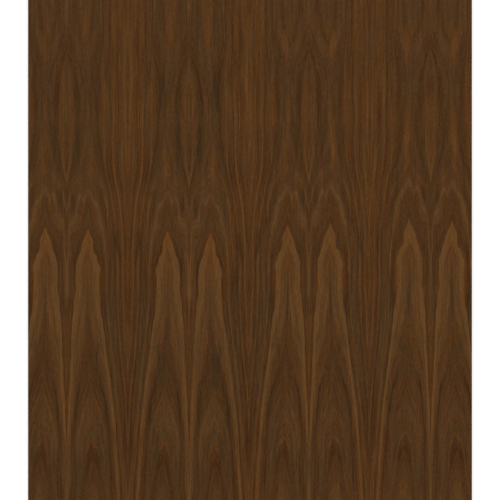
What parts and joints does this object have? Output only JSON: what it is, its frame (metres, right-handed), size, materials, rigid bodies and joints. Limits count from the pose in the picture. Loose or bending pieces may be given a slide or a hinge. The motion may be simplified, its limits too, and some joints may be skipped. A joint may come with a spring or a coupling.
{
  "type": "fireproof decorative panel",
  "caption": "Full sheet of fireproof decorative panel, faced with book-matched crown-cut walnut veneer and trimmed square, for cladding walls, doors and joinery.",
  "frame": {"origin": "middle of the back face, where the sheet lies or is bonded", "axes": "+Z out of the decorative face, +Y along the grain and the length, +X across the grain and the width"},
  "size_m": [1.22, 2.44, 0.009],
  "materials": {
    "walnut_veneer": "matt lacquered walnut veneer, crown cut and book-matched",
    "mineral_board": "fine-sanded pale mineral board, seen only at the sheet's edges",
    "backing_veneer": "plain sanded balancing veneer on the back"
  },
  "bodies": {
    "root": {"panel": "walnut_veneer"}
  },
  "joints": []
}
